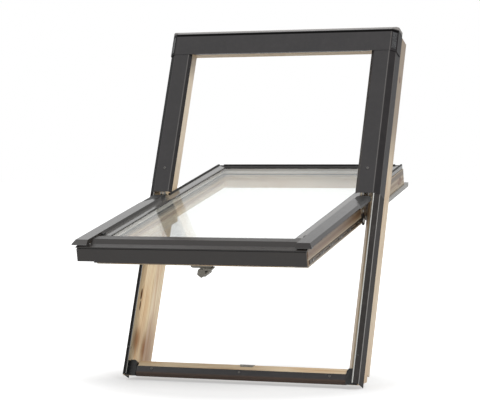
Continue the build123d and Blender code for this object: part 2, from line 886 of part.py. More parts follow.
sash_nodes = {
    "sash_top_rail": sash_top_rail(),
    "sash_bottom_rail": sash_bottom_rail(),
    "outer_pane": pane(glass_front),
    "inner_pane": pane(glass_front - pane_thickness - glass_cavity),
    "spacer_bar": spacer_bar(),
    "glass_bed": glass_bed_tape(),
    "glass_gasket": gasket(),
    "top_bead": top_bead(),
    "top_seal": top_seal(),
    "bottom_cover": bottom_cover(),
    "bottom_apron": bottom_apron(),
    "top_lip": top_lip(),
    "handle_base": handle_base(),
    "handle_screws": driven(handle_screw_places, small_screw_share),
    "handle_lever": handle_lever(),
    "handle_spindle": handle_spindle(),
    "latch_bolt": latch_bolt(),
}
sash_nodes.update(both_sides("sash_stile", sash_stile()))
sash_nodes.update(both_sides("side_bead", side_bead()))
sash_nodes.update(both_sides("side_seal", side_seal()))
sash_nodes.update(both_sides("sash_cover", side_cover()))
sash_nodes.update(both_sides("hinge_cap", hinge_cap()))
sash_nodes.update(both_sides("corner_plug", corner_plug()))
sash_nodes.update(both_sides("sash_hinge", sash_hinge()))
sash_nodes.update(both_sides("side_rail", side_rail()))
sash_nodes.update(both_sides("side_rail_screws", driven(side_rail_screw_places(), small_screw_share)))
sash_nodes.update(both_sides("back_strip", back_strip()))

# The sash swings about the pivot, then everything leans at the roof's pitch about the sill face.
swing = Pos(0, pivot_height, 0) * Rot(-sash_opening, 0, 0) * Pos(0, -pivot_height, 0)
lean = Rot(roof_pitch, 0, 0) * Pos(0, -sill_face_height, -sill_face_middle)

for name, solid in frame_nodes.items():
    export_step(lean * solid, "parts/" + name + ".step")

for name, solid in sash_nodes.items():
    export_step(lean * swing * solid, "parts/" + name + ".step")
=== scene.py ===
import math

import bpy
from mathutils import Matrix, Vector


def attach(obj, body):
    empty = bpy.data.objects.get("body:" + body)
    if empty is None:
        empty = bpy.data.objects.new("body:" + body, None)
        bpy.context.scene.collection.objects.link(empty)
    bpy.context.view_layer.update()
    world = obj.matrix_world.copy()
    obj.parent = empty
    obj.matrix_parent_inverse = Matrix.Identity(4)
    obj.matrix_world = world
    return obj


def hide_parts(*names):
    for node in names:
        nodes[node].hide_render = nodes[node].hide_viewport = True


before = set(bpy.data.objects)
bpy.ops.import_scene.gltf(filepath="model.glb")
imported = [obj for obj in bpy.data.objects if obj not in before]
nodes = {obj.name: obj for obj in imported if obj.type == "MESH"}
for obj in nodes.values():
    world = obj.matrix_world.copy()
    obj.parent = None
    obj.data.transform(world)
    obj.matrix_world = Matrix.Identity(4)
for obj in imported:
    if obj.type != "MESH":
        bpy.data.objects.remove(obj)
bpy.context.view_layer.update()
print("frame loaded:", len(nodes), "nodes")


# how the window lies: its own millimetres run across, up the slope and outward

mm = 0.001
windowLie = dict(pitch=68.5, opening=56.4, pivot=608.0, sillUp=20.589, sillOut=79.0)


def lean(degrees):
    return Matrix.Rotation(math.radians(degrees), 4, "X")


def shift(across, up, out):
    return Matrix.Translation((across * mm, up * mm, out * mm))


def lieOf(toRow, degrees):
    # what a material needs to find the window's own millimetres again
    return dict(lean=degrees, shift=tuple(toRow.inverted().to_translation() / mm))


swing = shift(0, windowLie["pivot"], 0) @ lean(-windowLie["opening"]) @ shift(0, -windowLie["pivot"], 0)
frameToRow = lean(windowLie["pitch"]) @ shift(0, -windowLie["sillUp"], windowLie["sillOut"])
sashToRow = frameToRow @ swing
lies = dict(
    frame=lieOf(frameToRow, windowLie["pitch"]),
    sash=lieOf(sashToRow, windowLie["pitch"] - windowLie["opening"]),
)
sides = (("right", 1), ("left", -1))


# shader maths

class Wire:
    # a socket that takes part in sums; plain values use Math, colours and vectors Vector Math
    def __init__(self, paint, socket):
        self.paint = paint
        self.socket = socket

    def join(self, operation, first, second):
        wires = [side for side in (first, second) if isinstance(side, Wire)]
        if all(wire.socket.type == "VALUE" for wire in wires):
            return self.paint.maths(operation, first, second)
        parts = [side if isinstance(side, (Wire, tuple)) else (side, side, side) for side in (first, second)]
        return self.paint.node("ShaderNodeVectorMath", {"operation": operation}, {0: parts[0], 1: parts[1]})

    def __add__(self, other):
        return self.join("ADD", self, other)

    def __radd__(self, other):
        return self.join("ADD", other, self)

    def __sub__(self, other):
        return self.join("SUBTRACT", self, other)

    def __rsub__(self, other):
        return self.join("SUBTRACT", other, self)

    def __mul__(self, other):
        return self.join("MULTIPLY", self, other)

    def __rmul__(self, other):
        return self.join("MULTIPLY", other, self)

    def __truediv__(self, other):
        return self.join("DIVIDE", self, other)


class Paint:
    # the nodes of one material, or of the world
    def __init__(self, owner):
        owner.use_nodes = True
        self.owner = owner
        self.tree = owner.node_tree
        self.tree.nodes.clear()

    def node(self, kind, settings=None, values=None, output=0):
        made = self.tree.nodes.new(kind)
        for key, value in (settings or {}).items():
            setattr(made, key, value)
        for key, value in (values or {}).items():
            if isinstance(value, Wire):
                self.tree.links.new(value.socket, made.inputs[key])
            else:
                made.inputs[key].default_value = value
        return Wire(self, made.outputs[output])

    def maths(self, operation, *terms):
        return self.node("ShaderNodeMath", {"operation": operation}, dict(enumerate(terms)))

    def length(self, vector):
        return self.node("ShaderNodeVectorMath", {"operation": "LENGTH"}, {0: vector}, 1)

    def mix(self, share, first, second):
        return self.node("ShaderNodeMix", {"data_type": "RGBA"}, {0: share, 6: first, 7: second}, 2)

    def level(self, wire, low, high):
        # 0 at low and before it, 1 at high and past it
        return self.node("ShaderNodeMapRange", {"interpolation_type": "SMOOTHSTEP"}, {0: wire, 1: low, 2: high})

    def noise(self, vector, scale, detail=2.0, rough=0.5):
        values = {"Vector": vector, "Scale": scale, "Detail": detail, "Roughness": rough}
        return self.node("ShaderNodeTexNoise", {}, values)

    def bump(self, height, strength, distance):
        return self.node("ShaderNodeBump", {}, {"Height": height, "Strength": strength, "Distance": distance})

    def place(self):
        return self.node("ShaderNodeTexCoord", {}, {}, "Object")

    def local(self, lie):
        # the window's own millimetres
        turn = (-math.radians(lie["lean"]), 0, 0)
        spot = {"Location": lie["shift"], "Rotation": turn, "Scale": (1 / mm, 1 / mm, 1 / mm)}
        return self.node("ShaderNodeMapping", {}, {"Vector": self.place(), **spot})

    def axes(self, vector):
        split = self.node("ShaderNodeSeparateXYZ", {}, {0: vector}).socket.node
        return [Wire(self, socket) for socket in split.outputs]

    def vector(self, x, y, z):
        return self.node("ShaderNodeCombineXYZ", {}, {0: x, 1: y, 2: z})

    def seen(self):
        # 1 for the camera and for what gloss and glass show, 0 for light that falls on things
        camera, glossy, through = [
            self.node("ShaderNodeLightPath", {}, {}, name)
            for name in ("Is Camera Ray", "Is Glossy Ray", "Is Transmission Ray")
        ]
        return self.maths("MAXIMUM", self.maths("MAXIMUM", camera, glossy), through)

    def shade(self, **values):
        named = {key.replace("_", " "): value for key, value in values.items()}
        return self.node("ShaderNodeBsdfPrincipled", {}, named)

    def finish(self, shader):
        kind = "World" if isinstance(self.owner, bpy.types.World) else "Material"
        end = self.tree.nodes.new("ShaderNodeOutput" + kind)
        self.tree.links.new(shader.socket, end.inputs["Surface"])
        return self.owner


def newPaint(name):
    return Paint(bpy.data.materials.new(name))


def tone(red, green, blue):
    # screen colour, 0 to 255, as the linear colour that a shader takes
    parts = [value / 255 for value in (red, green, blue)]
    linear = [part / 12.92 if part <= 0.04045 else ((part + 0.055) / 1.055) ** 2.4 for part in parts]
    return (*linear, 1)


def dress(material, *names):
    for name in names:
        data = nodes[name].data
        data.materials.clear()
        data.materials.append(material)


def pair(name):
    return (name + "_left", name + "_right")


# pine

pineLook = dict(
    pale=tone(229, 211, 181), late=tone(204, 170, 127), warm=tone(204, 162, 114), vein=tone(182, 136, 88),
    smoke=tone(136, 84, 38), knot=tone(112, 68, 36), rim=tone(74, 43, 24),
    ringWidth=4.2, lateShare=0.62, warmShare=0.55, veinShare=0.5, fibreShare=0.22,
    sway=34, drift=7, knotPull=6, ringDrift=0.6, endToneDrift=90, smudgeDrift=0.8, bandDrift=3,
    rough=0.42, coat=0.18, coatRough=0.25, bump=0.25, bumpDepth=0.0004,
)
# noise per millimetre: across the grain and along it, then detail and roughness
pineNoise = dict(
    sway=(0.012, 0.0022, 2.0, 0.5),
    drift=(0.05, 0.006, 3.0, 0.5),
    fibre=(1.6, 0.03, 3.0, 0.6),
    patch=(0.035, 0.004, 3.0, 0.5),
    vein=(0.16, 0.005, 2.0, 0.5),
)
seedStep = (7.3, 3.1, 5.7)


def pineMaterial(name, lie, grain, pith, seed, knots=(), smudges=(), bands=(), endTone=None, toneAndLightScale=1.0):
    look = pineLook
    p = newPaint(name)
    u, v, w = p.axes(p.local(lie))
    run, across = (v, u) if grain == "up" else (u, v)
    seedPlace = tuple(seed * step for step in seedStep)

    def grained(kind):
        wide, long, detail, rough = pineNoise[kind]
        return p.noise(p.vector(across * wide, w * wide, run * long) + seedPlace, 1.0, detail, rough)

    def apart(spot):
        # distance from a mark, 1 at its edge
        along = (run - spot["run"]) / spot["long"]
        aside = (across - spot["across"]) / spot["size"]
        deep = (w - spot["out"]) / spot["size"]
        return p.length(p.vector(along, aside, deep))

    drift = grained("drift") - 0.5
    turn = (grained("sway") - 0.5) * look["sway"] + drift * look["drift"]
    knotMasks = []
    for knot in knots:  # the rings bend round a knot
        far = apart(knot)
        turn = turn + p.level(far, 2.6, 0.2) * look["knotPull"]
        knotMasks.append((p.level(far, 1.1, 0.75), p.level(far, 0.7, 0.3)))
    radius = p.length(p.vector(across - pith[0] + turn, w - pith[1], 0.0))
    rings = p.maths("FRACT", radius / look["ringWidth"] + drift * look["ringDrift"])
    late = p.level(rings, 0.25, 0.9) * p.level(rings, 1.0, 0.92)
    fibre = grained("fibre")
    colour = p.mix(late * look["lateShare"], look["pale"], look["late"])
    colour = p.mix(p.level(grained("patch"), 0.45, 0.72) * look["warmShare"], colour, look["warm"])
    colour = p.mix(p.level(grained("vein"), 0.5, 0.72) * look["veinShare"], colour, look["vein"])
    colour = p.mix(p.level(fibre, 0.52, 0.8) * look["fibreShare"], colour, look["late"])
    if endTone:  # another tone towards one end of the board: greyer at the top of the left frame stile, darker at the top of the right one, browner towards the foot of the right sash stile
        mask = p.level(run + drift * look["endToneDrift"], *endTone["span"])
        colour = p.mix(mask * endTone["share"], colour, endTone["colour"])
    for spot in smudges:  # soft brown marks
        mask = p.level(apart(spot) + drift * look["smudgeDrift"], 1.3, 0.2)
        colour = p.mix(mask * spot["share"], colour, look["smoke"])
    for band in bands:  # bands along the board's length: streaks, and on the sash stiles a band of painted shade under the side cover
        off = p.maths("ABSOLUTE", w - band["out"] + drift * look["bandDrift"])
        colour = p.mix(p.level(off, band["wide"], band["wide"] * 0.3) * band["share"], colour, band["colour"])
    # a whole board made lighter or darker: partly its own tone, partly painted light and shade, lighter on the
    # left frame stile and darker on the right stiles
    if toneAndLightScale != 1.0:
        colour = colour * (toneAndLightScale, toneAndLightScale, toneAndLightScale)
    for rim, core in knotMasks:
        colour = p.mix(rim, colour, look["rim"])
        colour = p.mix(core, colour, look["knot"])
    rough = look["rough"] + fibre * 0.16 - late * 0.05
    height = p.bump(fibre * 0.7 + late * 0.3, look["bump"], look["bumpDepth"])
    coats = dict(Coat_Weight=look["coat"], Coat_Roughness=look["coatRough"])
    return p.finish(p.shade(Base_Color=colour, Roughness=rough, Normal=height, **coats))


sashStreaksAndShade = [
    # the first band is painted shade on the stile's side under the side cover; the others are brown and pale
    # streaks
    dict(out=-33.0, wide=13.0, colour=tone(84, 62, 46), share=0.75),
    dict(out=-54.0, wide=8.0, colour=tone(140, 92, 52), share=0.6),
    dict(out=-68.0, wide=3.0, colour=tone(232, 214, 182), share=0.85),
    dict(out=-89.0, wide=6.0, colour=tone(222, 206, 180), share=0.8),
]
# pith is where the rings' middle lies: across the board and outward
# a board's brightness scale is partly painted light and shade: the left frame stile is painted lighter, the
# right frame stile and the right sash stile darker
boards = dict(
    frame_stile_left=dict(
        grain="up", pith=(-268.0, -70.0), seed=1, toneAndLightScale=1.22,
        endTone=dict(span=(600.0, 760.0), share=0.7, colour=tone(188, 177, 160)),
        knots=[
            dict(run=270.0, across=-369.0, out=-20.0, size=3.0, long=20.0),
            dict(run=232.0, across=-368.0, out=-20.0, size=1.9, long=18.0),
        ],
        smudges=[
            dict(run=118.0, across=-363.0, out=-22.0, size=13.0, long=50.0, share=0.8),
            dict(run=96.0, across=-347.0, out=-48.0, size=14.0, long=56.0, share=0.85),
            dict(run=100.0, across=-345.0, out=-80.0, size=44.0, long=125.0, share=0.66),
        ],
    ),
    frame_stile_right=dict(
        grain="up", pith=(300.0, -96.0), seed=2, toneAndLightScale=0.8,
        endTone=dict(span=(690.0, 900.0), share=0.8, colour=tone(118, 100, 80)),
        knots=[dict(run=1040.0, across=388.0, out=-92.0, size=7.0, long=14.0)],
    ),
    frame_top_rail=dict(grain="across", pith=(1060.0, -80.0), seed=3),
    frame_bottom_rail=dict(grain="across", pith=(140.0, -60.0), seed=4, toneAndLightScale=0.86),
    sash_stile_left=dict(grain="up", pith=(-240.0, -30.0), seed=5, bands=sashStreaksAndShade),
    sash_stile_right=dict(
        grain="up", pith=(240.0, -40.0), seed=6, toneAndLightScale=0.46, bands=sashStreaksAndShade,
        endTone=dict(span=(640.0, 560.0), share=0.55, colour=tone(150, 106, 66)),
        knots=[
            dict(run=1052.0, across=335.0, out=-48.0, size=6.0, long=11.0),
            dict(run=1034.0, across=335.0, out=-60.0, size=4.0, long=8.0),
        ],
        smudges=[dict(run=1046.0, across=335.0, out=-54.0, size=18.0, long=30.0, share=0.5)],
    ),
    sash_top_rail=dict(grain="across", pith=(980.0, -60.0), seed=7),
    sash_bottom_rail=dict(
        grain="across", pith=(180.0, -60.0), seed=8,
        knots=[dict(run=-190.0, across=90.0, out=-91.0, size=8.0, long=12.0)],
    ),
)
for board, spec in boards.items():
    dress(pineMaterial("pine." + board, lies[board.split("_")[0]], **spec), board)
print("boards dressed:", len(boards))


# painted claddings

frontFold = 372.5
sideFold = (391.0, -17.0)
lipFold = -322.4
# in every look, dust is the dust colour and also the colour of the painted highlights along the bends listed in
# folds
anthracite = dict(
    colour=tone(34, 32, 33), pale=tone(42, 39, 40), dust=tone(104, 101, 99), rough=0.3, sheen=0.04,
    gloss=dict(bevel=(372.0, 375.0), bevelCoat=0.3, side=(390.2, 391.2), sideCoat=0.15),
    # painted shade on the left bevel
    leftBevelShade=dict(span=(-frontFold, -frontFold - 2.0), share=0.8, colour=tone(10, 9, 9)),
)
paintLooks = dict(
    frame=dict(
        anthracite, folds=[(frontFold, 0.0), sideFold, (lipFold, 0.0)],
        # painted shade on the left cover's inner lip
        lip=dict(
            start=(lipFold + 0.5, lipFold + 1.5), end=(0.0, -10.0), above=(60.0, 80.0),
            share=0.5, matt=0.45, colour=tone(16, 14, 13),
        ),
        # a brown band of painted shade along the bottom cladding's lower edge
        lines=[dict(at=-2.0, wide=20.0, share=0.85, matt=0.4, colour=tone(72, 54, 42))],
    ),
    hood=dict(
        anthracite, folds=[(374.1, 1.5)],
        # a black painted shadow line across the hood's front, then a painted highlight along its top edge
        lines=[
            dict(at=1173.8, wide=4.6, share=0.97, matt=0.95, colour=tone(5, 4, 4)),
            dict(at=1187.0, wide=8.0, share=0.85, matt=0.0, colour=tone(138, 134, 131)),
        ],
    ),
    strip=dict(
        colour=tone(53, 51, 50), pale=tone(60, 57, 55), dust=tone(190, 187, 184), rough=0.4, sheen=0.02,
        folds=[sideFold],
    ),
    # painted shade: the left strip is a darker, duller copy of the strip paint, whose right-hand copy is
    # painted lighter
    stripLeft=dict(
        colour=tone(17, 16, 15), pale=tone(24, 22, 21), dust=tone(60, 57, 54), rough=0.5, sheen=0.02,
    ),
    # the sash covers, the bead and the bottom cover share one anthracite paint, given here in lit and shaded
    # copies
    sash=dict(colour=tone(46, 43, 41), pale=tone(56, 52, 49), dust=tone(98, 92, 86), rough=0.12, sheen=0.9),
    # painted shade: the right sash cover is a darker, duller copy of the sash paint
    sashRight=dict(
        colour=tone(28, 25, 24), pale=tone(38, 34, 32), dust=tone(98, 92, 86), rough=0.16, sheen=0.5,
    ),
    # painted reflection: the anthracite bead painted light grey for the white it mirrors at a glancing angle
    bead=dict(colour=tone(80, 78, 75), pale=tone(94, 91, 87), dust=tone(120, 116, 110), rough=0.1, sheen=1.0),
    # painted shade: the bottom cover and apron are a darker copy of the sash paint
    lowRail=dict(colour=tone(28, 24, 22), pale=tone(36, 32, 29), dust=tone(84, 78, 72), rough=0.3, sheen=0.4),
    topBead=dict(colour=tone(26, 24, 23), pale=tone(34, 31, 29), dust=tone(60, 56, 52), rough=0.5, sheen=0.1),
)
# noise per millimetre
paintNoise = dict(peel=0.9, speck=2.6, cloud=0.011, dust=0.05)
# the painted highlights along the bends: width, core and share
foldGleam = dict(wide=2.6, core=0.8, share=0.5)
coatRough = 0.24


def claddingMaterial(name, lie, look):
    # powder paint: fine orange peel, faint clouding, a little dust in patches; where a look asks, painted
    # highlights along the bends, painted shade and painted shadow lines
    p = newPaint(name)
    place = p.local(lie)
    u, v, w = p.axes(place)
    cloud = p.noise(place, paintNoise["cloud"], 4.0, 0.6)
    dust = p.level(p.noise(place, paintNoise["dust"], 6.0, 0.7), 0.4, 0.9)
    speck = p.level(p.noise(place, paintNoise["speck"], 1.0), 0.6, 0.75)
    colour = p.mix(p.level(cloud, 0.35, 0.7) * 0.5 + speck * 0.12, look["colour"], look["pale"])
    colour = p.mix(dust * 0.05, colour, look["dust"])
    rough = look["rough"] + cloud * 0.08 + dust * 0.10
    height = p.bump(p.noise(place, paintNoise["peel"], 2.0), 0.05, 0.0003)
    for fold, out in look.get("folds", ()):  # painted highlights along the bends, in the dust colour
        far = p.length(p.vector(u - fold, w - out, 0.0))
        worn = p.level(far, foldGleam["wide"], foldGleam["core"])
        colour = p.mix(worn * foldGleam["share"], colour, look["dust"])
    coat = 0.0
    if "gloss" in look:  # glossy on the face, duller past the front fold and the side fold
        gloss = look["gloss"]
        side = p.maths("ABSOLUTE", u)
        coat = 1.0 - p.level(side, *gloss["bevel"]) * (1.0 - gloss["bevelCoat"])
        coat = coat * (1.0 - p.level(side, *gloss["side"]) * (1.0 - gloss["sideCoat"]))
        darker = p.level(u, *look["leftBevelShade"]["span"])  # painted shade: the left bevel is painted near black and its coat taken away
        colour = p.mix(darker * look["leftBevelShade"]["share"], colour, look["leftBevelShade"]["colour"])
        coat = coat * (1.0 - darker)
    if "lip" in look:  # painted shade: the left cover's inner lip painted darker and duller than its face
        lip = look["lip"]
        darker = p.level(u, *lip["start"]) * p.level(v, *lip["above"]) * p.level(u, *lip["end"])
        colour = p.mix(darker * lip["share"], colour, lip["colour"])
        coat = coat * (1.0 - darker * lip["matt"])
    for line in look.get("lines", ()):  # painted lines along an edge: a painted shadow line and a painted highlight on the hood, a brown band of painted shade along the bottom cladding's lower edge
        mask = p.level(p.maths("ABSOLUTE", v - line["at"]), line["wide"], line["wide"] * 0.6)
        colour = p.mix(mask * line["share"], colour, line["colour"])
        coat = coat * (1.0 - mask * line["matt"])
    gleam = dict(Specular_IOR_Level=look["sheen"], Coat_Weight=coat, Coat_Roughness=coatRough)
    return p.finish(p.shade(Base_Color=colour, Roughness=rough, Normal=height, **gleam))


claddings = {
    ("frame", "frame"): ("bottom_cladding", *pair("upper_cover")),
    ("hood", "frame"): ("hood",),
    ("strip", "frame"): ("lower_strip_right",),
    ("stripLeft", "frame"): ("lower_strip_left",),
    ("sash", "sash"): ("sash_cover_left",),
    ("sashRight", "sash"): ("sash_cover_right",),
    ("bead", "sash"): pair("side_bead"),
    ("lowRail", "sash"): ("bottom_cover", "bottom_apron"),
    ("topBead", "sash"): ("top_bead",),
}
for (look, part), names in claddings.items():
    dress(claddingMaterial("cladding." + look, lies[part], paintLooks[look]), *names)
print("claddings painted:", len(claddings))


# plastics, rubber and metals

plainLooks = dict(
    lightTrim=dict(
        low=tone(176, 176, 172), high=tone(206, 206, 202), streak=(0.4, 0.01, 0.4), speck=0.8,
        rough=0.45, metal=0.0, bump=0.05,
    ),
    # painted shade: the left trim is the light trim with its sloping face painted near black
    skinTrim=dict(
        low=tone(176, 174, 168), high=tone(206, 204, 198), streak=(0.4, 0.01, 0.4), speck=0.8,
        rough=0.6, metal=0.0, bump=0.05,
        faceShade=dict(slope=(-0.677, 0.736), depth=251.4, edge=0.3, colour=tone(22, 20, 19)),
    ),
    hingeSteel=dict(
        low=tone(150, 138, 120), high=tone(190, 178, 158), streak=(0.05, 0.05, 0.05), speck=0.3,
        rough=0.45, metal=0.5, bump=0.06,
        foot=dict(out=-58.0, fade=3.0, colour=tone(30, 27, 25)),
    ),
    # partly painted highlight: the rivets' near-white tone stands in for the glint on their heads as well as
    # their bright steel
    brightSteel=dict(
        low=tone(196, 195, 192), high=tone(232, 231, 228), streak=(0.2, 0.2, 0.2), speck=0.6,
        rough=0.3, metal=0.4, bump=0.04,
    ),
    blackPlastic=dict(
        low=tone(24, 24, 24), high=tone(40, 39, 38), streak=(0.2, 0.2, 0.2), speck=1.4,
        rough=0.5, metal=0.0, bump=0.15,
    ),
    earPlate=dict(
        low=tone(16, 16, 16), high=tone(98, 98, 100), streak=(0.3, 0.22, 0.3), speck=0.3,
        rough=0.4, metal=0.0, bump=0.3,
    ),
    rubber=dict(
        low=tone(20, 20, 20), high=tone(36, 35, 34), streak=(0.8, 0.8, 0.8), speck=0.6,
        rough=0.62, metal=0.0, bump=0.12,
    ),
    steel=dict(
        low=tone(128, 126, 122), high=tone(178, 176, 170), streak=(0.06, 0.06, 0.06), speck=0.25,
        rough=0.4, metal=1.0, bump=0.05,
    ),
    darkSteel=dict(
        low=tone(56, 50, 44), high=tone(104, 96, 86), streak=(0.5, 0.02, 0.5), speck=0.5,
        rough=0.38, metal=0.8, bump=0.08,
    ),
    greyStrip=dict(
        low=tone(142, 141, 138), high=tone(170, 169, 165), streak=(0.9, 0.01, 0.9), speck=0.9,
        rough=0.5, metal=0.0, bump=0.06,
    ),
    handleGrey=dict(
        low=tone(116, 112, 103), high=tone(142, 138, 128), streak=(0.1, 0.1, 0.1), speck=1.8,
        rough=0.42, metal=0.25, bump=0.08,
    ),
    paintedScrew=dict(
        low=tone(52, 50, 50), high=tone(84, 82, 80), streak=(0.3, 0.3, 0.3), speck=1.2,
        rough=0.4, metal=0.3, bump=0.1,
    ),
    sillScrew=dict(
        low=tone(84, 82, 80), high=tone(120, 118, 115), streak=(0.3, 0.3, 0.3), speck=1.2,
        rough=0.35, metal=0.3, bump=0.1,
    ),
    spacer=dict(
        low=tone(206, 203, 196), high=tone(232, 229, 222), streak=(0.02, 0.02, 0.8), speck=0.6,
        rough=0.45, metal=0.1, bump=0.05,
    ),
)
plainCloud = 0.03
plainBumpDepth = 0.0004


def plainMaterial(name, lie, look):
    # moulded, drawn or plated pieces: streaks along one way, speckle and uneven gloss
    p = newPaint(name)
    place = p.local(lie)
    u, v, w = p.axes(place)
    wide, long, deep = look["streak"]
    streak = p.noise(p.vector(u * wide, v * long, w * deep), 1.0, 3.0, 0.6)
    speck = p.noise(place, look["speck"], 2.0)
    cloud = p.noise(place, plainCloud, 3.0)
    share = p.level(streak, 0.35, 0.75) * 0.55 + p.level(speck, 0.5, 0.75) * 0.35
    colour = p.mix(share, look["low"], look["high"])
    if "faceShade" in look:  # painted shade: the left trim's sloping face painted near black
        faceShade = look["faceShade"]
        front = u * faceShade["slope"][0] + w * faceShade["slope"][1]
        colour = p.mix(p.level(front, faceShade["depth"] - faceShade["edge"], faceShade["depth"]), colour, faceShade["colour"])
    if "foot" in look:  # blackened below one level
        foot = look["foot"]
        below = p.level(w, foot["out"] + foot["fade"], foot["out"] - foot["fade"])
        colour = p.mix(below, colour, foot["colour"])
    rough = look["rough"] + (cloud - 0.5) * 0.16 + (speck - 0.5) * 0.08
    height = p.bump(speck * 0.5 + streak * 0.5, look["bump"], plainBumpDepth)
    return p.finish(p.shade(Base_Color=colour, Roughness=rough, Metallic=look["metal"], Normal=height))


# brightSteel and earPlate are for modelled pieces alone
finishes = {
    ("lightTrim", "frame"): ("strip_trim_right",),
    ("skinTrim", "frame"): ("strip_trim_left",),
    ("blackPlastic", "frame"): pair("corner_block"),
    ("blackPlastic", "sash"): (*pair("corner_plug"), *pair("hinge_cap")),
    ("rubber", "sash"): ("top_seal", "glass_gasket", "glass_bed", *pair("side_seal")),
    ("spacer", "sash"): ("spacer_bar",),
    ("steel", "frame"): (*pair("frame_hinge"), *pair("pivot_pin"), "strike_plate"),
    ("paintedScrew", "frame"): pair("strip_screw"),
    ("sillScrew", "frame"): ("cover_screws", "sill_screws"),
    ("steel", "sash"): ("handle_spindle", "latch_bolt", "handle_screws", *pair("side_rail_screws")),
    ("darkSteel", "sash"): pair("side_rail"),
    ("hingeSteel", "sash"): pair("sash_hinge"),
    ("brightSteel", "sash"): (),
    ("earPlate", "frame"): (),
    ("greyStrip", "sash"): (*pair("back_strip"), "top_lip"),
    ("handleGrey", "sash"): ("handle_base", "handle_lever"),
}
for (look, part), names in finishes.items():
    dress(plainMaterial(look + "." + part, lies[part], plainLooks[look]), *names)


# glass

glassLook = dict(
    clear=(0.985, 0.992, 0.988, 1), glare=(1, 1, 1, 1), glareRough=0.02, glance=0.06,
    dust=tone(225, 224, 220), film=0.006, filmShare=0.05, haze=0.02,
)


def glassMaterial(name, lie, look):
    # clear float glass that lets the lamps through; fine dust dulls it here and there
    p = newPaint(name)
    film = p.level(p.noise(p.local(lie), look["film"], 5.0, 0.65), 0.5, 0.85)
    clear = p.node("ShaderNodeBsdfTransparent", {}, {"Color": look["clear"]})
    gloss = p.node("ShaderNodeBsdfGlossy", {}, {"Color": look["glare"], "Roughness": look["glareRough"]})
    dusty = p.node("ShaderNodeBsdfDiffuse", {}, {"Color": look["dust"]})
    glance = p.node("ShaderNodeLayerWeight", {}, {"Blend": look["glance"]}, "Facing")
    clean = p.node("ShaderNodeMixShader", {}, {0: glance, 1: clear, 2: gloss})
    share = film * look["filmShare"] + look["haze"]
    return p.finish(p.node("ShaderNodeMixShader", {}, {0: share, 1: clean, 2: dusty}))


dress(glassMaterial("floatGlass", lies["sash"], glassLook), "outer_pane", "inner_pane")
finish = bpy.data.materials
print("finishes:", len(finish))


# modelling helpers; all sizes in millimetres

hair = 0.001


def startPiece(name, primitive, **settings):
    bpy.ops.object.select_all(action="DESELECT")
    primitive(**settings)
    piece = bpy.context.object
    piece.name = name
    return piece


def applyPlace():
    bpy.ops.object.transform_apply(location=True, rotation=True, scale=True)


def boxPiece(name, low, high):
    # a cube stretched between two corners
    piece = startPiece(name, bpy.ops.mesh.primitive_cube_add, size=1.0)
    piece.scale = [(b - a) * mm for a, b in zip(low, high)]
    piece.location = [(a + b) / 2 * mm for a, b in zip(low, high)]
    applyPlace()
    return piece


def discPiece(name, radius, tall, corners):
    # a cylinder that stands on zero
    disc = bpy.ops.mesh.primitive_cylinder_add
    place = (0, 0, tall / 2 * mm)
    piece = startPiece(name, disc, vertices=corners, radius=radius * mm, depth=tall * mm, location=place)
    applyPlace()
    return piece


def editWhere(piece, kind, wanted):
    # edit mode with only the wanted faces or edges selected
    bpy.ops.object.select_all(action="DESELECT")
    piece.select_set(True)
    bpy.context.view_layer.objects.active = piece
    bpy.ops.object.mode_set(mode="EDIT")
    bpy.ops.mesh.select_mode(type="FACE" if kind == "faces" else "EDGE")
    bpy.ops.mesh.select_all(action="DESELECT")
    bpy.ops.object.mode_set(mode="OBJECT")
    data = piece.data
    if kind == "faces":
        for face in data.polygons:
            face.select = wanted(face.center, face.normal)
    else:
        for edge in data.edges:
            edge.select = wanted(*[data.vertices[index].co for index in edge.vertices])
    bpy.ops.object.mode_set(mode="EDIT")


def leaveEdit():
    bpy.ops.object.mode_set(mode="OBJECT")


def looking(way):
    # picks faces that look up, 1, or down, -1
    return lambda middle, normal: normal.z * way > 0.99


def edgesAt(height):
    level = (height - hair) * mm
    return lambda a, b: a.z > level and b.z > level


def insetBy(width):
    bpy.ops.mesh.inset(thickness=width * mm)


def extrudeBy(height):
    bpy.ops.mesh.extrude_region_move(TRANSFORM_OT_translate={"value": (0, 0, height * mm)})


def bevelBy(width, segments):
    bpy.ops.mesh.bevel(offset=width * mm, segments=segments, profile=0.5)


def copyOf(source, name, place):
    bpy.ops.object.select_all(action="DESELECT")
    twin = source.copy()
    twin.data = source.data.copy()
    twin.name = name
    bpy.context.scene.collection.objects.link(twin)
    twin.matrix_world = place
    twin.select_set(True)
    bpy.context.view_layer.objects.active = twin
    applyPlace()
    return twin


def joined(pieces, name):
    bpy.ops.object.select_all(action="DESELECT")
    for piece in pieces:
        piece.select_set(True)
    bpy.context.view_layer.objects.active = pieces[0]
    if len(pieces) > 1:
        bpy.ops.object.join()
    whole = bpy.context.object
    whole.name = name
    bpy.ops.object.shade_smooth_by_angle(angle=math.radians(35))
    return whole


def settle(piece, body, slotName, material, *stoodFor):
    piece.data.materials.clear()
    piece.data.materials.append(material)
    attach(piece, body)
    if stoodFor:
        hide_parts(*stoodFor)


# screws: pan head with a cross recess and a pointed shank, seat at zero

screwSpec = dict(
    head=4.2, tall=2.2, corners=40, dome=1.0, domeSteps=5, shank=1.8, length=15.0, point=(0.3, 0.3, 1.0),
    crossWide=1.1, crossLong=4.6, crossDeep=1.2, crossOver=1.0, crossTaper=(0.55, 0.7, 1.0),
    firstTurn=23.0, nextTurn=37.0, smallShare=0.72, bevelTilt=42.6,
)
screwSpots = dict(
    cover=[(side * 346.0, 698.0, 0.0) for side in (-1, 1)],
    sill=[(step * 295.0, 25.0, -20.0) for step in (-1, 0, 1)],
    strip=[(frontFold + 8.325, 91.0, -7.65)],
    rail=[(337.0, 100.0 + step * 91.6, -77.0) for step in range(6)],
)


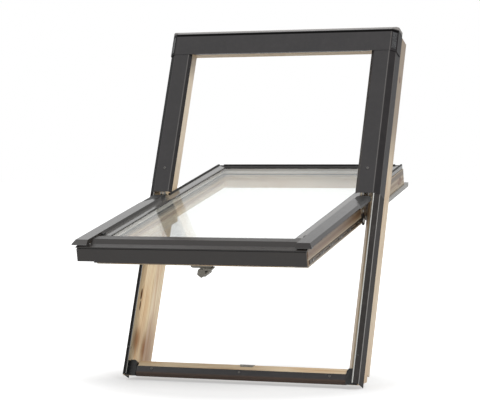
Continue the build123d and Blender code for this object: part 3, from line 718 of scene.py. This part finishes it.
def crossBlade(spec):
    long, wide = spec["crossLong"] / 2, spec["crossWide"] / 2
    low, high = spec["tall"] - spec["crossDeep"], spec["tall"] + spec["crossOver"]
    blade = boxPiece("crossBlade", (-long, -wide, low), (long, wide, high))
    editWhere(blade, "faces", looking(-1))
    bpy.ops.transform.resize(value=spec["crossTaper"])
    leaveEdit()
    return blade


def panScrew(spec):
    screw = discPiece("panScrew", spec["head"], spec["tall"], spec["corners"])
    editWhere(screw, "edges", edgesAt(spec["tall"]))
    bevelBy(spec["dome"], spec["domeSteps"])
    leaveEdit()
    editWhere(screw, "faces", looking(-1))
    insetBy(spec["head"] - spec["shank"])
    extrudeBy(-spec["length"])
    bpy.ops.transform.resize(value=spec["point"])
    leaveEdit()
    blade = crossBlade(spec)
    turned = copyOf(blade, "crossBladeTurned", Matrix.Rotation(math.pi / 2, 4, "Z"))
    for cutter in (blade, turned):
        cut = screw.modifiers.new("recess", "BOOLEAN")
        cut.operation = "DIFFERENCE"
        cut.object = cutter
        bpy.context.view_layer.objects.active = screw
        bpy.ops.object.modifier_apply(modifier=cut.name)
        bpy.data.objects.remove(cutter)
    return screw


screwPattern = panScrew(screwSpec)


def screwSet(name, spots, tilt, share, toRow, sign=1):
    turn = Matrix.Rotation(math.radians(tilt), 4, "Y")
    if sign < 0:
        turn = Matrix.Rotation(math.pi, 4, "Z") @ turn
    pieces = []
    for index, (across, up, out) in enumerate(spots):
        degrees = screwSpec["firstTurn"] + screwSpec["nextTurn"] * index  # no two slots stand alike
        around = Matrix.Rotation(math.radians(degrees), 4, "Z")
        place = shift(sign * across, up, out) @ turn @ around
        pieces.append(copyOf(screwPattern, name + str(index), toRow @ place @ Matrix.Scale(share, 4)))
    return joined(pieces, name)


for name, node in (("cover", "cover_screws"), ("sill", "sill_screws")):
    screws = screwSet(name + "Screws", screwSpots[name], 0.0, 1.0, frameToRow)
    settle(screws, "frame", "screw_steel", finish["sillScrew.frame"], node)
for side, sign in sides:
    small, tilt = screwSpec["smallShare"], screwSpec["bevelTilt"]
    strip = screwSet("stripScrew." + side, screwSpots["strip"], tilt, small, frameToRow, sign)
    settle(strip, "frame", "screw_steel", finish["paintedScrew.frame"], "strip_screw_" + side)
    rail = screwSet("railScrews." + side, screwSpots["rail"], 90.0, small, sashToRow, sign)
    settle(rail, "sash", "screw_steel", finish["steel.sash"], "side_rail_screws_" + side)
bpy.data.objects.remove(screwPattern)
print("screws modelled")


# rubber seals: a bulb with a groove along its top

sealSpec = dict(
    floor=-9.5, top=-6.1, bulb=1.5, bulbSteps=5, rim=0.55, dip=0.6, longEdge=50.0,
    upper=1094.0, topLow=1087.5, topHalf=309.0, sideLow=640.0, sideInner=326.5, sideOuter=333.0,
)


def bulbSeal(name, low, high, along, spec):
    # along is 0 for a seal that runs across and 1 for one that runs up
    seal = boxPiece(name, (*low, spec["floor"]), (*high, spec["top"]))
    atTop = edgesAt(spec["top"])
    editWhere(seal, "edges", lambda a, b: atTop(a, b) and abs(a[along] - b[along]) > spec["longEdge"] * mm)
    bevelBy(spec["bulb"], spec["bulbSteps"])
    leaveEdit()
    editWhere(seal, "faces", looking(1))
    insetBy(spec["rim"])
    extrudeBy(-spec["dip"])
    leaveEdit()
    return seal


def makeSeals(spec):
    half, upper = spec["topHalf"], spec["upper"]
    seals = {"top_seal": bulbSeal("topSealBulb", (-half, spec["topLow"]), (half, upper), 0, spec)}
    for side, sign in sides:
        left, right = sorted((sign * spec["sideInner"], sign * spec["sideOuter"]))
        seal = bulbSeal("sideSealBulb." + side, (left, spec["sideLow"]), (right, upper), 1, spec)
        seals["side_seal_" + side] = seal
    return seals


for node, seal in makeSeals(sealSpec).items():
    placed = copyOf(seal, seal.name + ".set", sashToRow)
    bpy.data.objects.remove(seal)
    settle(joined([placed], "bulb." + node), "sash", "black_rubber", finish["rubber.sash"], node)
print("seals modelled")


# hinge rivets: a stepped washer and a domed head, two on each hinge foot

rivetSpec = dict(washer=8.5, washerTall=1.2, corners=48, head=5.2, headTall=2.6, dome=1.6, domeSteps=5)
rivetSpec.update(across=338.0, spots=[dict(out=-84.0, share=1.0), dict(out=-52.0, share=0.55)])


def hingeRivet(spec):
    rivet = discPiece("hingeRivet", spec["washer"], spec["washerTall"], spec["corners"])
    editWhere(rivet, "faces", looking(1))
    insetBy(spec["washer"] - spec["head"])
    extrudeBy(spec["headTall"])
    leaveEdit()
    editWhere(rivet, "edges", edgesAt(spec["washerTall"] + spec["headTall"]))
    bevelBy(spec["dome"], spec["domeSteps"])
    leaveEdit()
    return rivet


rivetPattern = hingeRivet(rivetSpec)
for side, sign in sides:
    outward = Matrix.Rotation(sign * math.pi / 2, 4, "Y")
    rivets = []
    for index, spot in enumerate(rivetSpec["spots"]):
        place = shift(sign * rivetSpec["across"], windowLie["pivot"], spot["out"]) @ outward
        place = sashToRow @ place @ Matrix.Scale(spot["share"], 4)
        rivets.append(copyOf(rivetPattern, "hingeRivet." + side + str(index), place))
    settle(joined(rivets, "hingeRivets." + side), "sash", "hinge_steel", finish["brightSteel.sash"])
bpy.data.objects.remove(rivetPattern)
print("rivets modelled")


# foot plates: ribbed black plates that close the gap between each corner block and its strip

footSpec = dict(
    inner=369.2, outer=385.0, low=0.4, high=49.0, back=-19.95, front=-18.7,
    cuts=8, rim=2.0, ribInset=0.3, ribTall=0.7,
)


def footPlate(name, sign, spec):
    left, right = sorted((sign * spec["inner"], sign * spec["outer"]))
    plate = boxPiece(name, (left, spec["low"], spec["back"]), (right, spec["high"], spec["front"]))
    isUp = looking(1)
    editWhere(plate, "faces", lambda middle, normal: isUp(middle, normal) or abs(normal.y) > 0.99)
    bpy.ops.mesh.subdivide(number_cuts=spec["cuts"])
    leaveEdit()
    step = (spec["high"] - spec["low"]) / (spec["cuts"] + 1)
    ribs = [(spec["low"] + step * (row + 0.5)) * mm for row in range(1, spec["cuts"], 2)]
    centre, reach = (left + right) / 2 * mm, ((right - left) / 2 - spec["rim"]) * mm

    def onRib(middle, normal):
        inRow = any(abs(middle.y - rib) < step / 4 * mm for rib in ribs)
        return isUp(middle, normal) and inRow and abs(middle.x - centre) < reach

    editWhere(plate, "faces", onRib)
    insetBy(spec["ribInset"])
    extrudeBy(spec["ribTall"])
    leaveEdit()
    return plate


for side, sign in sides:
    plate = footPlate("footPlate." + side, sign, footSpec)
    placed = copyOf(plate, "footPlateSet." + side, frameToRow)
    bpy.data.objects.remove(plate)
    settle(joined([placed], "footPlate." + side), "frame", "black_plastic", finish["blackPlastic.frame"])
print("foot plates modelled")


# folded ears: dimpled black plates over the hood's side folds

earSpec = dict(
    half=8.0, reach=28.0, tall=0.8, corner=2.5, cornerSteps=4, rim=1.6, sink=0.35, edge=0.25, edgeSteps=2,
    tilt=41.8, across=383.6, up=1141.0, out=-7.0,
)


def foldedEar(spec):
    half, reach = spec["half"], spec["reach"]
    ear = boxPiece("foldedEar", (-half, -reach, 0.0), (half, reach, spec["tall"]))
    editWhere(ear, "edges", lambda a, b: abs(a.z - b.z) > hair * mm)
    bevelBy(spec["corner"], spec["cornerSteps"])
    leaveEdit()
    editWhere(ear, "faces", looking(1))
    insetBy(spec["rim"])
    extrudeBy(-spec["sink"])
    leaveEdit()
    editWhere(ear, "edges", edgesAt(spec["tall"]))
    bevelBy(spec["edge"], spec["edgeSteps"])
    leaveEdit()
    return ear


earPattern = foldedEar(earSpec)
for side, sign in sides:
    tilt = Matrix.Rotation(sign * math.radians(earSpec["tilt"]), 4, "Y")
    place = shift(sign * earSpec["across"], earSpec["up"], earSpec["out"]) @ tilt
    ear = copyOf(earPattern, "foldedEarSet." + side, frameToRow @ place)
    settle(joined([ear], "foldedEar." + side), "frame", "anthracite_cladding", finish["earPlate.frame"])
bpy.data.objects.remove(earPattern)
print("ears modelled")


# stage: a pale floor whose glow is weaker near the window, a painted shadow round its foot; a white world and
# two lamps

floorSpec = dict(level=-0.0125, size=120.0, tone=0.5, glow=0.46, farGlow=1.0, near=0.34, far=0.76)
worldSpec = dict(white=(1, 1, 1, 1), ambient=0.5)
lampSpecs = dict(
    key=dict(place=(3.2, -3.0, 3.4), aim=(0, 0.1, 0.5), size=2.4, power=190.0),
    fill=dict(place=(-2.6, -3.0, 3.8), aim=(0, 0.1, 0.5), size=2.6, power=30.0),
)


def makeFloor(spec):
    plane = bpy.ops.mesh.primitive_plane_add
    floor = startPiece("floor", plane, size=spec["size"], location=(0, 0, spec["level"]))
    p = newPaint("paleFloor")
    matt = p.node("ShaderNodeBsdfDiffuse", {}, {"Color": (spec["tone"], spec["tone"], spec["tone"], 1)})
    # painted shadow: between about 0.34 and 0.76 m from the floor's middle the glow rises, so the floor is
    # painted darker round the window
    farther = p.level(p.length(p.place()), spec["near"], spec["far"]) * (spec["farGlow"] - spec["glow"])
    strength = p.seen() * (farther + spec["glow"])
    glow = p.node("ShaderNodeEmission", {}, {"Color": worldSpec["white"], "Strength": strength})
    floor.data.materials.append(p.finish(p.node("ShaderNodeAddShader", {}, {0: matt, 1: glow})))


def makeWorld(spec):
    p = Paint(bpy.data.worlds.new("studio"))
    strength = spec["ambient"] + p.seen() * (1.0 - spec["ambient"])
    sky = p.node("ShaderNodeBackground", {}, {"Color": spec["white"], "Strength": strength})
    bpy.context.scene.world = p.finish(sky)


def aimed(thing, place, ahead):
    thing.location = place
    thing.rotation_euler = Vector(ahead).to_track_quat("-Z", "Y").to_euler()
    bpy.context.scene.collection.objects.link(thing)
    return thing


def softLamp(name, spec):
    data = bpy.data.lights.new(name, "AREA")
    data.shape = "DISK"
    data.size = spec["size"]
    data.energy = spec["power"]
    ahead = Vector(spec["aim"]) - Vector(spec["place"])
    aimed(bpy.data.objects.new(name, data), spec["place"], ahead).visible_glossy = False


makeFloor(floorSpec)
makeWorld(worldSpec)
for name, spec in lampSpecs.items():
    softLamp(name, spec)


# camera

cameraSpec = dict(
    place=(2.0444, -5.4520, 0.6654), ahead=(-0.3536, 0.9352, -0.0236),
    lens=139.9, sensor=36.0, near=0.05, far=200.0,
)


def makeCamera(spec):
    data = bpy.data.cameras.new("photoCamera")
    data.lens = spec["lens"]
    data.sensor_width = spec["sensor"]
    data.clip_start = spec["near"]
    data.clip_end = spec["far"]
    camera = bpy.data.objects.new("photoCamera", data)
    bpy.context.scene.camera = aimed(camera, spec["place"], spec["ahead"])


makeCamera(cameraSpec)
bpy.context.scene.view_settings.view_transform = "Standard"
print("stage and camera set")
